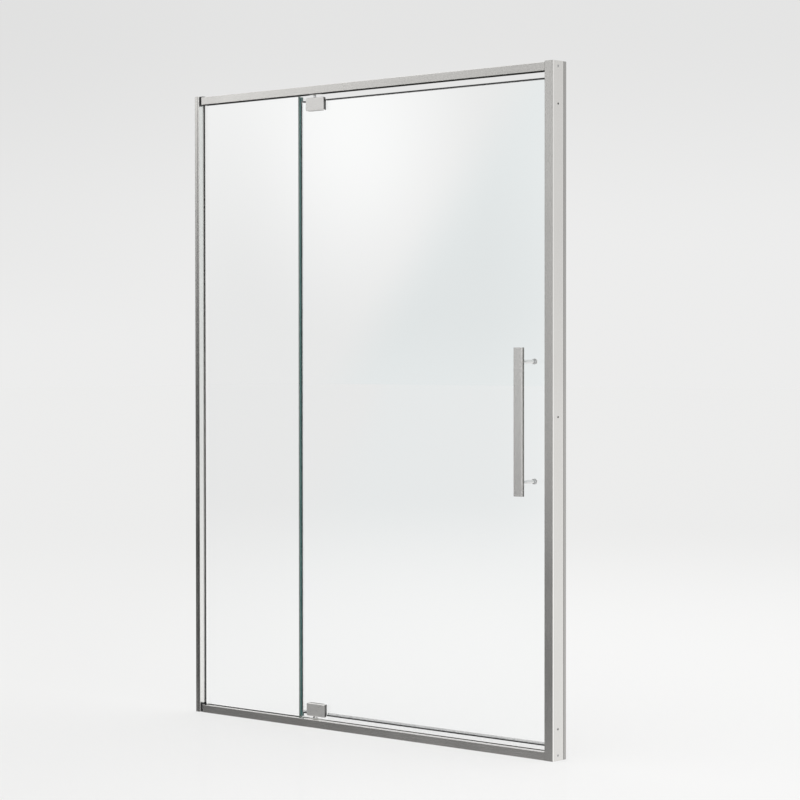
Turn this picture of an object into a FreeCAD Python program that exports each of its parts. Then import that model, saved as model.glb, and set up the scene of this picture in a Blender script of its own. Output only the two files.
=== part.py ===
import FreeCAD, Part
import math
import os
from FreeCAD import Vector

os.makedirs("parts", exist_ok=True)

# Pivot shower door: a slim metal frame with a fixed glass panel on the left and
# a pivoting glass door on the right. Millimetres. +Z is up, the front (the side
# with the handle) faces -Y, and the origin is the middle of the sill's underside.

# ---------------------------------------------------------------- frame sizes
FRAME_WIDTH = 1372.0            # over the two wall jambs
FRAME_HEIGHT = 1829.0           # full height of the wall jambs
HEADER_DROP = 3.0               # header's top below the jambs' tops
HEADER_HEIGHT = 22.5            # face height of the header rail
SILL_HEIGHT = 22.5              # face height of the sill rail
METAL_WALL = 1.8                # wall of every extruded profile
EDGE_ROUND = 0.8                # outer long edges of the extruded profiles
FRONT_CHAMBER_DEPTH = 16.0      # front plane to the glazing groove
GROOVE_WIDTH = 12.0             # glazing groove, front to back
GROOVE_DEPTH = 14.0             # glazing groove of header and sill
REAR_LIP = 2.0                  # lip behind the glazing groove
LEFT_JAMB_WIDTH = 18.5          # face width of the left wall jamb
RIGHT_CHANNEL_WIDTH = 28.0      # face width of the right wall channel
RIGHT_CHANNEL_DEPTH = 44.0      # flat web of the right wall channel
RIGHT_LEG_DEPTH = 13.0          # thin leg behind the web
RIGHT_LEG_STEP = 1.5            # leg set in from the web's outer face

# ------------------------------------------------- corner blocks and fasteners
CORNER_BLOCK_HEIGHT = 27.0      # moulded block at each corner of the frame
CORNER_BLOCK_RECESS = 5.5       # block's face behind the frame's front plane
CORNER_GAP = 10.5               # left jamb to the ends of header and sill
TENON_LENGTH = 22.0             # block's tongue inside a rail
TENON_CLEARANCE = 0.1           # tongue to the rail's inner walls
GLASS_CLEARANCE = 1.5           # block to the fixed glass above or below it
CORNER_SCREW_INSET = 14.0       # corner screws from the frame's top and bottom
LEFT_SCREW_DEPTH = 9.5          # left corner screws behind the frame's front plane
CORNER_SCREW_RADIUS = 2.0
CORNER_SCREW_BITE = 14.0        # length of screw inside its block
CORNER_HEAD_RADIUS = 3.8
CORNER_HEAD_HEIGHT = 2.4
HEAD_ACCESS_RADIUS = 4.6        # hole that lets a screw head into the left jamb
SCREW_CLEARANCE = 0.1           # radial, round every screw shank

# ------------------------------------------------------------- wall screw holes
WALL_HOLE_RADIUS = 2.75
WALL_HOLE_COUNT = 3             # evenly spaced up each jamb
WALL_HOLE_BOTTOM_INSET = 83.0   # lowest hole above the jamb's foot
WALL_HOLE_TOP_INSET = 112.0     # highest hole below the jamb's top

# ----------------------------------------------------------------- glass panels
GLASS_THICKNESS = 8.0
GLASS_EDGE_ROUND = 0.6          # polished arris
DOOR_GLASS_WIDTH = 910.0
DOOR_TOP_GAP = 17.0             # header's underside to the door glass
DOOR_BOTTOM_GAP = 16.0          # sill's top to the door glass
STRIKE_EDGE_GAP = 6.0           # door glass to the right channel's face
PANEL_GAP = 10.5                # fixed glass to door glass
FIXED_SIDE_BITE = 10.5          # fixed glass inside the left jamb
FIXED_TOP_BITE = 9.0            # fixed glass inside the header
SETTING_BLOCK_HEIGHT = 3.0
SETTING_BLOCK_LENGTH = 60.0
SETTING_BLOCK_INSET = 70.0      # block's far end from each end of the glass
GASKET_BASE = 2.0               # gasket web under the glass edge
GASKET_PROUD = 1.0              # gasket standing out of its groove

# ------------------------------------------------------- strike side of the frame
INSERT_WALL = 1.6               # snap-in strike insert
INSERT_CLEARANCE = 0.1          # insert to the channel's flanges
INSERT_LEG = 12.0
INSERT_END_GAP = 0.3            # insert to the corner blocks
MAGNET_WIDTH = 8.6
MAGNET_THICKNESS = 4.0
MAGNET_PROUD = 0.5
MAGNET_CLEARANCE = 0.1
STOP_LIP_LENGTH = 9.0           # lip that reaches behind the closed door
STOP_LIP_SETBACK = 3.0          # lip behind the back of the door glass
STOP_GASKET_THICKNESS = 1.6
STOP_GASKET_WIDTH = 8.0

# ---------------------------------------------------------------- pivots
PIVOT_OFFSET = 53.0             # door's hinge-side edge to the pivot axis
PIN_RADIUS = 4.0
PIN_RUNNING_CLEARANCE = 0.05
PIVOT_BLOCK_LENGTH = 44.0
PIVOT_BORE_DEPTH = 11.0
PIN_REACH = 9.5                 # pin inside its pivot block
BOTTOM_BLOCK_PROUD = 1.0        # lower pivot block above the sill
BLOCK_SCREW_SPACING = 32.0
BLOCK_SCREW_RADIUS = 1.75
BLOCK_SCREW_HEAD_RADIUS = 3.4
BLOCK_SCREW_HEAD_HEIGHT = 1.9
BLOCK_SCREW_TIP = 2.4           # screw past the block, through the rail's wall
THRUST_WASHER_THICKNESS = 1.0
COLLAR_RADIUS = 8.0

# ---------------------------------------------------------------- hinge clamps
HINGE_PLATE_LENGTH = 72.0
HINGE_PLATE_HEIGHT = 36.5
HINGE_OVERHANG = 7.1            # plate past the glass edge
HINGE_PIN_INSET = 24.5          # plate's hinge-side end to the pivot axis
FRONT_PLATE_THICKNESS = 8.0
BACK_PLATE_THICKNESS = 6.0
BACK_PLATE_LENGTH = 56.0        # shorter than the front plate, level at the hinge-side end
HINGE_GASKET = 1.5
HINGE_CORNER_ROUND = 5.0
HINGE_FACE_ROUND = 1.5
BRIDGE_LENGTH = 32.0            # bar over the glass edge that holds the pin
BRIDGE_GLASS_GAP = 0.8
CLAMP_SCREW_SPACING = 28.0
CLAMP_SCREW_DEPTH = 15.0        # clamp screws from the glass edge
CLAMP_SCREW_RADIUS = 3.0
CLAMP_HEAD_RADIUS = 5.5
CLAMP_HEAD_HEIGHT = 3.0
CLAMP_SCREW_REACH = 6.0         # thread inside the front plate
CLAMP_GLASS_HOLE_RADIUS = 5.0

# ---------------------------------------------------------------- door seals
SEAL_WALL = 1.0
SEAL_END_GAP = 0.5              # seals to the hinge clamps and to each other
TOP_SEAL_WALL = 0.8
TOP_SEAL_COVER = 3.6            # top seal's legs down the glass
SWEEP_BASE = 3.0
SWEEP_COVER = 6.0               # sweep's legs up the glass
SWEEP_FIN_THICKNESS = 1.2
SWEEP_SILL_GAP = 1.5
STRIKE_SEAL_COVER = 8.0
STRIKE_SEAL_BASE = 4.4          # seal past the door's strike edge
DOOR_MAGNET_WIDTH = 6.0
DOOR_MAGNET_THICKNESS = 2.6
HINGE_SEAL_COVER = 6.5
HINGE_SEAL_FIN = 1.6            # thickness of the fin towards the fixed glass
HINGE_SEAL_CLEARANCE = 1.5      # fin's tip to the fixed glass
HINGE_SEAL_OVERRUN = 13.0       # seal past the glass, above and below

# ---------------------------------------------------------------- handle
HANDLE_LENGTH = 390.0
HANDLE_WIDTH = 30.0
HANDLE_THICKNESS = 8.5
HANDLE_STANDOFF = 54.0          # back of the bar to the glass
HANDLE_CENTRE_HEIGHT = 887.0
HANDLE_EDGE_INSET = 47.5        # post axis from the door's strike edge
HANDLE_FRONT_ROUND = 1.5
HANDLE_BACK_ROUND = 0.8
POST_SPACING = 316.0
POST_RADIUS = 5.2
POST_THREAD_DEPTH = 18.0
HANDLE_WASHER_RADIUS = 7.0
HANDLE_WASHER_THICKNESS = 1.2
HANDLE_HOLE_RADIUS = 6.0        # holes through the glass
HANDLE_BOLT_RADIUS = 3.0
HANDLE_CAP_RADIUS = 8.0
HANDLE_CAP_HEIGHT = 5.0
HANDLE_CAP_ROUND = 1.5

# ----------------------------------------------------------- places worked out
RAIL_DEPTH = FRONT_CHAMBER_DEPTH + GROOVE_WIDTH + REAR_LIP
left_x = -FRAME_WIDTH / 2
right_x = FRAME_WIDTH / 2
front_y = -RAIL_DEPTH / 2
rear_y = RAIL_DEPTH / 2
header_top_z = FRAME_HEIGHT - HEADER_DROP
header_bottom_z = header_top_z - HEADER_HEIGHT

groove_front_y = front_y + FRONT_CHAMBER_DEPTH
groove_back_y = groove_front_y + GROOVE_WIDTH
glass_y = groove_front_y + GROOVE_WIDTH / 2
glass_front_y = glass_y - GLASS_THICKNESS / 2
glass_back_y = glass_y + GLASS_THICKNESS / 2
left_screw_y = front_y + LEFT_SCREW_DEPTH

rail_left_x = left_x + LEFT_JAMB_WIDTH + CORNER_GAP
rail_right_x = right_x - RIGHT_CHANNEL_WIDTH

door_right_x = rail_right_x - STRIKE_EDGE_GAP
door_left_x = door_right_x - DOOR_GLASS_WIDTH
door_top_z = header_bottom_z - DOOR_TOP_GAP
door_bottom_z = SILL_HEIGHT + DOOR_BOTTOM_GAP

fixed_left_x = left_x + LEFT_JAMB_WIDTH - FIXED_SIDE_BITE
fixed_right_x = door_left_x - PANEL_GAP
fixed_bottom_z = SILL_HEIGHT - GROOVE_DEPTH + SETTING_BLOCK_HEIGHT + GASKET_BASE
fixed_top_z = header_bottom_z + FIXED_TOP_BITE

pivot_x = door_left_x + PIVOT_OFFSET
plate_left_x = pivot_x - HINGE_PIN_INSET
plate_right_x = plate_left_x + HINGE_PLATE_LENGTH
back_plate_right_x = plate_left_x + BACK_PLATE_LENGTH
handle_x = door_right_x - HANDLE_EDGE_INSET

ALONG_X = Vector(1, 0, 0)
ALONG_Y = Vector(0, 1, 0)
ALONG_Z = Vector(0, 0, 1)


# -------------------------------------------------------------------- helpers
def box(x0, x1, y0, y1, z0, z1):
    """A plain block between two corners, given in any order."""
    low = Vector(min(x0, x1), min(y0, y1), min(z0, z1))
    return Part.makeBox(abs(x1 - x0), abs(y1 - y0), abs(z1 - z0), low)


def rod(start, direction, radius, length):
    """A round bar from a start point."""
    return Part.makeCylinder(radius, length, start, direction)


def countersunk_screw(head_centre, direction, shank_radius, head_radius, head_height, length):
    """A flat-headed screw: the head's flat face at head_centre, the shank along direction."""
    head = Part.makeCone(head_radius, shank_radius, head_height, head_centre, direction)
    return head.fuse(rod(head_centre, direction, shank_radius, length)).removeSplitter()


def countersunk_hole(head_centre, direction, shank_radius, head_radius, head_height, length):
    """The hole for such a screw, with clearance round its shank and head."""
    shank = shank_radius + SCREW_CLEARANCE
    head = Part.makeCone(head_radius + SCREW_CLEARANCE, shank, head_height, head_centre, direction)
    return head.fuse(rod(head_centre, direction, shank, length))


def fuse_all(shapes):
    """One solid from shapes that share faces or volume."""
    return shapes[0].multiFuse(shapes[1:]).removeSplitter()


def rounded_outline(corners):
    """A closed wire through 3-D corners, each (point, radius), with arcs of that radius."""
    edges = []
    ends = []
    for index, (point, radius) in enumerate(corners):
        before = corners[index - 1][0]
        after = corners[(index + 1) % len(corners)][0]
        into = (before - point).normalize()
        out = (after - point).normalize()
        if radius <= 0:
            ends.append((point, point))
            continue
        half_angle = into.getAngle(out) / 2
        reach = radius / math.tan(half_angle)
        start = point + into * reach
        end = point + out * reach
        bisector = (into + out).normalize()
        middle = point + bisector * (radius / math.sin(half_angle) - radius)
        ends.append((start, end))
        edges.append(Part.Arc(start, middle, end).toShape())
    for index, (start, end) in enumerate(ends):
        next_start = ends[(index + 1) % len(ends)][0]
        edges.append(Part.makeLine(end, next_start))
    return Part.Wire(Part.__sortEdges__(edges))


def prism(corners, direction):
    """A solid from a rounded outline, pushed along a direction."""
    return Part.Face(rounded_outline(corners)).extrude(direction)


def save(node, solids):
    """One STEP file for a node, which may hold several separate solids."""
    shape = solids if not isinstance(solids, list) else Part.makeCompound(solids)
    shape.exportStep("parts/" + node + ".step")


# ------------------------------------------------------------ extruded profiles
def grooved_outline(width, groove_depth, place):
    """Outline of a profile with a glazing groove; place turns (y, height) into a point."""
    floor = width - groove_depth
    return [
        (place(front_y, 0), EDGE_ROUND),
        (place(rear_y, 0), EDGE_ROUND),
        (place(rear_y, width), EDGE_ROUND),
        (place(groove_back_y, width), 0),
        (place(groove_back_y, floor), 0),
        (place(groove_front_y, floor), 0),
        (place(groove_front_y, width), 0),
        (place(front_y, width), EDGE_ROUND),
    ]


def rail(outer_z, inward, height):
    """Header or sill: hollow extrusion whose glazing groove opens towards the glass."""
    def place(y, h):
        return Vector(rail_left_x, y, outer_z + inward * h)

    length = rail_right_x - rail_left_x
    body = prism(grooved_outline(height, GROOVE_DEPTH, place), ALONG_X * length)
    front_chamber = box(
        rail_left_x, rail_right_x,
        front_y + METAL_WALL, groove_front_y - METAL_WALL,
        outer_z + inward * METAL_WALL, outer_z + inward * (height - METAL_WALL),
    )
    under_groove = box(
        rail_left_x, rail_right_x,
        front_y + METAL_WALL, rear_y - METAL_WALL,
        outer_z + inward * METAL_WALL,
        outer_z + inward * (height - GROOVE_DEPTH - METAL_WALL),
    )
    body = body.cut(front_chamber.fuse(under_groove))
    groove_floor_z = outer_z + inward * (height - GROOVE_DEPTH)
    for x in block_screw_places():
        start = Vector(x, glass_y, groove_floor_z)
        radius = BLOCK_SCREW_RADIUS + SCREW_CLEARANCE
        body = body.cut(rod(start, ALONG_Z * -inward, radius, METAL_WALL))
    return body


def wall_hole_heights():
    run = FRAME_HEIGHT - WALL_HOLE_TOP_INSET - WALL_HOLE_BOTTOM_INSET
    spacing = run / (WALL_HOLE_COUNT - 1)
    return [WALL_HOLE_BOTTOM_INSET + spacing * n for n in range(WALL_HOLE_COUNT)]


def corner_screw_heights():
    return [CORNER_SCREW_INSET, FRAME_HEIGHT - CORNER_SCREW_INSET]


def left_wall_jamb():
    """Left jamb: hollow front chamber, and a groove that takes the fixed glass."""
    def place(y, h):
        return Vector(left_x + h, y, 0)

    outline = grooved_outline(LEFT_JAMB_WIDTH, LEFT_JAMB_WIDTH - METAL_WALL, place)
    body = prism(outline, ALONG_Z * FRAME_HEIGHT)
    chamber = box(
        left_x + METAL_WALL, left_x + LEFT_JAMB_WIDTH - METAL_WALL,
        front_y + METAL_WALL, groove_front_y - METAL_WALL,
        0, FRAME_HEIGHT,
    )
    body = body.cut(chamber)
    for z in wall_hole_heights():
        hole = rod(Vector(left_x, glass_y, z), ALONG_X, WALL_HOLE_RADIUS, METAL_WALL)
        body = body.cut(hole)
    for z in corner_screw_heights():
        web = Vector(left_x, left_screw_y, z)
        inner_wall = web + ALONG_X * (LEFT_JAMB_WIDTH - METAL_WALL)
        body = body.cut(rod(web, ALONG_X, HEAD_ACCESS_RADIUS, METAL_WALL))
        shank = CORNER_SCREW_RADIUS + SCREW_CLEARANCE
        body = body.cut(rod(inner_wall, ALONG_X, shank, METAL_WALL))
    return body


def right_wall_channel():
    """Right jamb: channel with a flat web to the wall, and a thin stepped leg behind it."""
    web_back_y = front_y + RIGHT_CHANNEL_DEPTH
    outline = [
        (Vector(right_x, front_y, 0), EDGE_ROUND),
        (Vector(right_x, web_back_y, 0), 0),
        (Vector(right_x - RIGHT_LEG_STEP, web_back_y, 0), 0),
        (Vector(right_x - RIGHT_LEG_STEP, web_back_y + RIGHT_LEG_DEPTH, 0), 0),
        (Vector(right_x - RIGHT_LEG_STEP - METAL_WALL, web_back_y + RIGHT_LEG_DEPTH, 0), 0),
        (Vector(right_x - RIGHT_LEG_STEP - METAL_WALL, web_back_y, 0), 0),
        (Vector(rail_right_x, web_back_y, 0), EDGE_ROUND),
        (Vector(rail_right_x, web_back_y - METAL_WALL, 0), 0),
        (Vector(right_x - METAL_WALL, web_back_y - METAL_WALL, 0), 0),
        (Vector(right_x - METAL_WALL, front_y + METAL_WALL, 0), 0),
        (Vector(rail_right_x, front_y + METAL_WALL, 0), 0),
        (Vector(rail_right_x, front_y, 0), EDGE_ROUND),
    ]
    body = prism(outline, ALONG_Z * FRAME_HEIGHT)
    for z in wall_hole_heights():
        hole = rod(Vector(right_x, glass_y, z), ALONG_X * -1, WALL_HOLE_RADIUS, METAL_WALL)
        body = body.cut(hole)
    for z in corner_screw_heights():
        body = body.cut(countersunk_hole(
            Vector(right_x, glass_y, z), ALONG_X * -1,
            CORNER_SCREW_RADIUS, CORNER_HEAD_RADIUS, METAL_WALL, METAL_WALL,
        ))
    return body


# ------------------------------------------------------------------ corner blocks
def tenon(shoulder_x, reach, outer_z, inward, height):
    """Tongue that fills a rail's front chamber."""
    gap = METAL_WALL + TENON_CLEARANCE
    return box(
        shoulder_x, shoulder_x + reach,
        front_y + gap, groove_front_y - gap,
        outer_z + inward * gap, outer_z + inward * (height - gap),
    )


def left_corner_block(frame_z, rail_z, inward, height, glass_z):
    """Black block between the left jamb and a rail; it passes in front of and past the glass."""
    jamb_x = left_x + LEFT_JAMB_WIDTH
    in_front = box(
        jamb_x, rail_left_x,
        front_y + CORNER_BLOCK_RECESS, groove_front_y,
        frame_z, frame_z + inward * CORNER_BLOCK_HEIGHT,
    )
    past_glass = box(
        jamb_x, rail_left_x,
        front_y + CORNER_BLOCK_RECESS, rear_y,
        frame_z, glass_z - inward * GLASS_CLEARANCE,
    )
    tongue = tenon(rail_left_x, TENON_LENGTH, rail_z, inward, height)
    block = fuse_all([in_front, past_glass, tongue])
    start = Vector(jamb_x, left_screw_y, frame_z + inward * CORNER_SCREW_INSET)
    radius = CORNER_SCREW_RADIUS + SCREW_CLEARANCE
    return block.cut(rod(start, ALONG_X, radius, CORNER_SCREW_BITE))


def right_corner_block(frame_z, rail_z, inward, height):
    """Black block inside the right channel, with its tongue in a rail."""
    body = box(
        rail_right_x, right_x - METAL_WALL,
        front_y + METAL_WALL, rear_y,
        frame_z, frame_z + inward * CORNER_BLOCK_HEIGHT,
    )
    tongue = tenon(rail_right_x, -TENON_LENGTH, rail_z, inward, height)
    block = fuse_all([body, tongue])
    start = Vector(right_x - METAL_WALL, glass_y, frame_z + inward * CORNER_SCREW_INSET)
    radius = CORNER_SCREW_RADIUS + SCREW_CLEARANCE
    return block.cut(rod(start, ALONG_X * -1, radius, CORNER_SCREW_BITE))


def corner_screws():
    """Left screws seat inside the jamb on its inner wall; right ones lie flush in the web."""
    screws = []
    for z in corner_screw_heights():
        seat = Vector(left_x + LEFT_JAMB_WIDTH - METAL_WALL, left_screw_y, z)
        head = rod(seat, ALONG_X * -1, CORNER_HEAD_RADIUS, CORNER_HEAD_HEIGHT)
        shank = rod(seat, ALONG_X, CORNER_SCREW_RADIUS, METAL_WALL + CORNER_SCREW_BITE)
        screws.append(fuse_all([head, shank]))
        screws.append(countersunk_screw(
            Vector(right_x, glass_y, z), ALONG_X * -1,
            CORNER_SCREW_RADIUS, CORNER_HEAD_RADIUS, METAL_WALL,
            METAL_WALL + CORNER_SCREW_BITE,
        ))
    return screws


# ------------------------------------------------------------------ fixed panel
def soften_glass(panel):
    """Polished arris on the four long edges of each face."""
    edges = [e for e in panel.Edges if abs(e.tangentAt(e.FirstParameter).y) < 0.5]
    return panel.makeFillet(GLASS_EDGE_ROUND, edges)


def fixed_glass_panel():
    return soften_glass(box(
        fixed_left_x, fixed_right_x, glass_front_y, glass_back_y, fixed_bottom_z, fixed_top_z,
    ))


def level_gasket(glass_edge_z, outward, mouth_z):
    """U-shaped glazing gasket along the top or bottom edge of the fixed glass."""
    whole = box(
        rail_left_x, fixed_right_x, groove_front_y, groove_back_y,
        glass_edge_z + outward * GASKET_BASE, mouth_z - outward * GASKET_PROUD,
    )
    slot = box(
        rail_left_x, fixed_right_x, glass_front_y, glass_back_y,
        glass_edge_z, mouth_z - outward * GASKET_PROUD,
    )
    return whole.cut(slot)


def side_gasket():
    """U-shaped glazing gasket along the left edge of the fixed glass."""
    mouth_x = left_x + LEFT_JAMB_WIDTH + GASKET_PROUD
    whole = box(
        fixed_left_x - GASKET_BASE, mouth_x,
        groove_front_y, groove_back_y, fixed_bottom_z, fixed_top_z,
    )
    slot = box(fixed_left_x, mouth_x, glass_front_y, glass_back_y, fixed_bottom_z, fixed_top_z)
    return whole.cut(slot)


def setting_blocks():
    """Two hard blocks that carry the fixed glass in the sill's groove."""
    floor_z = SILL_HEIGHT - GROOVE_DEPTH
    starts = [
        fixed_left_x + SETTING_BLOCK_INSET,
        fixed_right_x - SETTING_BLOCK_INSET - SETTING_BLOCK_LENGTH,
    ]
    return [
        box(
            x, x + SETTING_BLOCK_LENGTH, groove_front_y, groove_back_y,
            floor_z, floor_z + SETTING_BLOCK_HEIGHT,
        )
        for x in starts
    ]


# ------------------------------------------------------------------ strike side
insert_bottom_z = CORNER_BLOCK_HEIGHT + INSERT_END_GAP
insert_top_z = FRAME_HEIGHT - CORNER_BLOCK_HEIGHT - INSERT_END_GAP
magnet_face_x = rail_right_x - MAGNET_PROUD
magnet_back_x = magnet_face_x + MAGNET_THICKNESS
stop_lip_front_y = glass_back_y + STOP_LIP_SETBACK
pocket_half_width = MAGNET_WIDTH / 2 + MAGNET_CLEARANCE


def strike_insert():
    """Snap-in strip that closes the right channel, holds the magnet and stops the door."""
    z0, z1 = insert_bottom_z, insert_top_z
    front = front_y + METAL_WALL + INSERT_CLEARANCE
    back = front_y + RIGHT_CHANNEL_DEPTH - METAL_WALL - INSERT_CLEARANCE
    plate_x = rail_right_x + INSERT_WALL
    leg_x = rail_right_x + INSERT_LEG
    pocket_y0 = glass_y - pocket_half_width
    pocket_y1 = glass_y + pocket_half_width
    solid = fuse_all([
        box(rail_right_x, plate_x, front, back, z0, z1),
        box(rail_right_x, leg_x, front, front + INSERT_WALL, z0, z1),
        box(rail_right_x, leg_x, back - INSERT_WALL, back, z0, z1),
        box(
            rail_right_x, magnet_back_x + INSERT_WALL,
            pocket_y0 - INSERT_WALL, pocket_y1 + INSERT_WALL, z0, z1,
        ),
        box(
            rail_right_x - STOP_LIP_LENGTH, rail_right_x,
            stop_lip_front_y, stop_lip_front_y + INSERT_WALL, z0, z1,
        ),
    ])
    return solid.cut(box(rail_right_x, magnet_back_x, pocket_y0, pocket_y1, z0, z1))


def strike_magnet_strip():
    return box(
        magnet_face_x, magnet_back_x,
        glass_y - MAGNET_WIDTH / 2, glass_y + MAGNET_WIDTH / 2,
        insert_bottom_z, insert_top_z,
    )


def stop_gasket():
    """Soft strip on the stop lip, which the closed door comes to rest on."""
    outer_x = rail_right_x - STOP_LIP_LENGTH
    return box(
        outer_x, outer_x + STOP_GASKET_WIDTH,
        stop_lip_front_y - STOP_GASKET_THICKNESS, stop_lip_front_y,
        insert_bottom_z, insert_top_z,
    )


# ------------------------------------------------------------------ pivot blocks
def block_screw_places():
    return [pivot_x - BLOCK_SCREW_SPACING / 2, pivot_x + BLOCK_SCREW_SPACING / 2]


def pivot_block(face_z, into_rail, height):
    """Acetal block in a rail's groove, bored for the pivot pin from its face."""
    body = box(
        pivot_x - PIVOT_BLOCK_LENGTH / 2, pivot_x + PIVOT_BLOCK_LENGTH / 2,
        groove_front_y, groove_back_y, face_z, face_z + into_rail * height,
    )
    bore_radius = PIN_RADIUS + PIN_RUNNING_CLEARANCE
    body = body.cut(rod(
        Vector(pivot_x, glass_y, face_z), ALONG_Z * into_rail, bore_radius, PIVOT_BORE_DEPTH,
    ))
    for x in block_screw_places():
        body = body.cut(countersunk_hole(
            Vector(x, glass_y, face_z), ALONG_Z * into_rail,
            BLOCK_SCREW_RADIUS, BLOCK_SCREW_HEAD_RADIUS, BLOCK_SCREW_HEAD_HEIGHT, height,
        ))
    return body


def pivot_block_screws(face_z, into_rail, height):
    return [
        countersunk_screw(
            Vector(x, glass_y, face_z), ALONG_Z * into_rail,
            BLOCK_SCREW_RADIUS, BLOCK_SCREW_HEAD_RADIUS, BLOCK_SCREW_HEAD_HEIGHT,
            height + BLOCK_SCREW_TIP,
        )
        for x in block_screw_places()
    ]


bottom_block_height = GROOVE_DEPTH + BOTTOM_BLOCK_PROUD
bottom_block_face_z = SILL_HEIGHT + BOTTOM_BLOCK_PROUD
collar_bottom_z = bottom_block_face_z + THRUST_WASHER_THICKNESS


def thrust_washer():
    """Nylon washer that carries the door's weight on the lower pivot block."""
    centre = Vector(pivot_x, glass_y, bottom_block_face_z)
    disc = rod(centre, ALONG_Z, COLLAR_RADIUS, THRUST_WASHER_THICKNESS)
    bore = rod(centre, ALONG_Z, PIN_RADIUS + SCREW_CLEARANCE, THRUST_WASHER_THICKNESS)
    return disc.cut(bore)


# ------------------------------------------------------------------ hinge clamps
front_gasket_y = glass_front_y - HINGE_GASKET
back_gasket_y = glass_back_y + HINGE_GASKET
front_plate_face_y = front_gasket_y - FRONT_PLATE_THICKNESS
back_plate_face_y = back_gasket_y + BACK_PLATE_THICKNESS


def clamp_screw_places():
    middle = (plate_left_x + back_plate_right_x) / 2
    half = CLAMP_SCREW_SPACING / 2
    return [middle - half, middle + half]


def rounded_plate(right_x, y0, thickness, z0, z1):
    """Hinge plate with its four corners rounded, standing along X and Z."""
    low, high = min(z0, z1), max(z0, z1)
    corners = [
        (Vector(plate_left_x, y0, low), HINGE_CORNER_ROUND),
        (Vector(right_x, y0, low), HINGE_CORNER_ROUND),
        (Vector(right_x, y0, high), HINGE_CORNER_ROUND),
        (Vector(plate_left_x, y0, high), HINGE_CORNER_ROUND),
    ]
    return prism(corners, ALONG_Y * thickness)


def round_face(plate, face_y):
    """Rolled edge all round a plate's outer face."""
    edges = [
        e for e in plate.Edges
        if all(abs(v.Point.y - face_y) < 0.001 for v in e.Vertexes)
    ]
    return plate.makeFillet(HINGE_FACE_ROUND, edges)


def hinge_front_plate(edge_z, outward):
    """Cast front plate, with a bridge over the glass edge that holds the pivot pin."""
    outer_z = edge_z + outward * HINGE_OVERHANG
    inner_z = outer_z - outward * HINGE_PLATE_HEIGHT
    plate = rounded_plate(
        plate_right_x, front_plate_face_y, FRONT_PLATE_THICKNESS, inner_z, outer_z,
    )
    plate = round_face(plate, front_plate_face_y)
    bridge = box(
        pivot_x - BRIDGE_LENGTH / 2, pivot_x + BRIDGE_LENGTH / 2,
        front_gasket_y, back_gasket_y,
        edge_z + outward * BRIDGE_GLASS_GAP, outer_z,
    )
    body = fuse_all([plate, bridge])
    pin_hole = rod(
        Vector(pivot_x, glass_y, edge_z + outward * BRIDGE_GLASS_GAP),
        ALONG_Z * outward, PIN_RADIUS, HINGE_OVERHANG - BRIDGE_GLASS_GAP,
    )
    body = body.cut(pin_hole)
    for x in clamp_screw_places():
        start = Vector(x, front_gasket_y, edge_z - outward * CLAMP_SCREW_DEPTH)
        radius = CLAMP_SCREW_RADIUS + SCREW_CLEARANCE
        body = body.cut(rod(start, ALONG_Y * -1, radius, CLAMP_SCREW_REACH))
    return body


def hinge_back_plate(edge_z, outward):
    outer_z = edge_z + outward * HINGE_OVERHANG
    inner_z = outer_z - outward * HINGE_PLATE_HEIGHT
    plate = rounded_plate(
        back_plate_right_x, back_gasket_y, BACK_PLATE_THICKNESS, inner_z, outer_z,
    )
    plate = round_face(plate, back_plate_face_y)
    for x in clamp_screw_places():
        plate = plate.cut(countersunk_hole(
            Vector(x, back_plate_face_y, edge_z - outward * CLAMP_SCREW_DEPTH), ALONG_Y * -1,
            CLAMP_SCREW_RADIUS, CLAMP_HEAD_RADIUS, CLAMP_HEAD_HEIGHT, BACK_PLATE_THICKNESS,
        ))
    return plate


def hinge_gaskets(edge_z, outward):
    """Soft pads between the two plates and the glass."""
    inner_z = edge_z + outward * (HINGE_OVERHANG - HINGE_PLATE_HEIGHT)
    pads = []
    for y, right_x in ((front_gasket_y, plate_right_x), (glass_back_y, back_plate_right_x)):
        pad = box(plate_left_x, right_x, y, y + HINGE_GASKET, inner_z, edge_z)
        for x in clamp_screw_places():
            start = Vector(x, y, edge_z - outward * CLAMP_SCREW_DEPTH)
            radius = CLAMP_SCREW_RADIUS + SCREW_CLEARANCE
            pad = pad.cut(rod(start, ALONG_Y, radius, HINGE_GASKET))
        pads.append(pad)
    return pads


def hinge_screws(edge_z, outward):
    """Clamp screws from behind, through both pads and the glass."""
    length = back_plate_face_y - front_gasket_y + CLAMP_SCREW_REACH
    return [
        countersunk_screw(
            Vector(x, back_plate_face_y, edge_z - outward * CLAMP_SCREW_DEPTH), ALONG_Y * -1,
            CLAMP_SCREW_RADIUS, CLAMP_HEAD_RADIUS, CLAMP_HEAD_HEIGHT, length,
        )
        for x in clamp_screw_places()
    ]


def top_pivot_pin():
    start_z = door_top_z + BRIDGE_GLASS_GAP
    end_z = header_bottom_z + PIN_REACH
    return rod(Vector(pivot_x, glass_y, start_z), ALONG_Z, PIN_RADIUS, end_z - start_z)


def bottom_pivot_pin():
    """Pin with a collar that sits between the hinge's bridge and the thrust washer."""
    start_z = door_bottom_z - BRIDGE_GLASS_GAP
    end_z = bottom_block_face_z - PIN_REACH
    shaft = rod(Vector(pivot_x, glass_y, end_z), ALONG_Z, PIN_RADIUS, start_z - end_z)
    collar_height = door_bottom_z - HINGE_OVERHANG - collar_bottom_z
    collar = rod(Vector(pivot_x, glass_y, collar_bottom_z), ALONG_Z, COLLAR_RADIUS, collar_height)
    return fuse_all([shaft, collar])


# ------------------------------------------------------------------ door leaf
def handle_heights():
    half = POST_SPACING / 2
    return [HANDLE_CENTRE_HEIGHT - half, HANDLE_CENTRE_HEIGHT + half]


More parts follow.
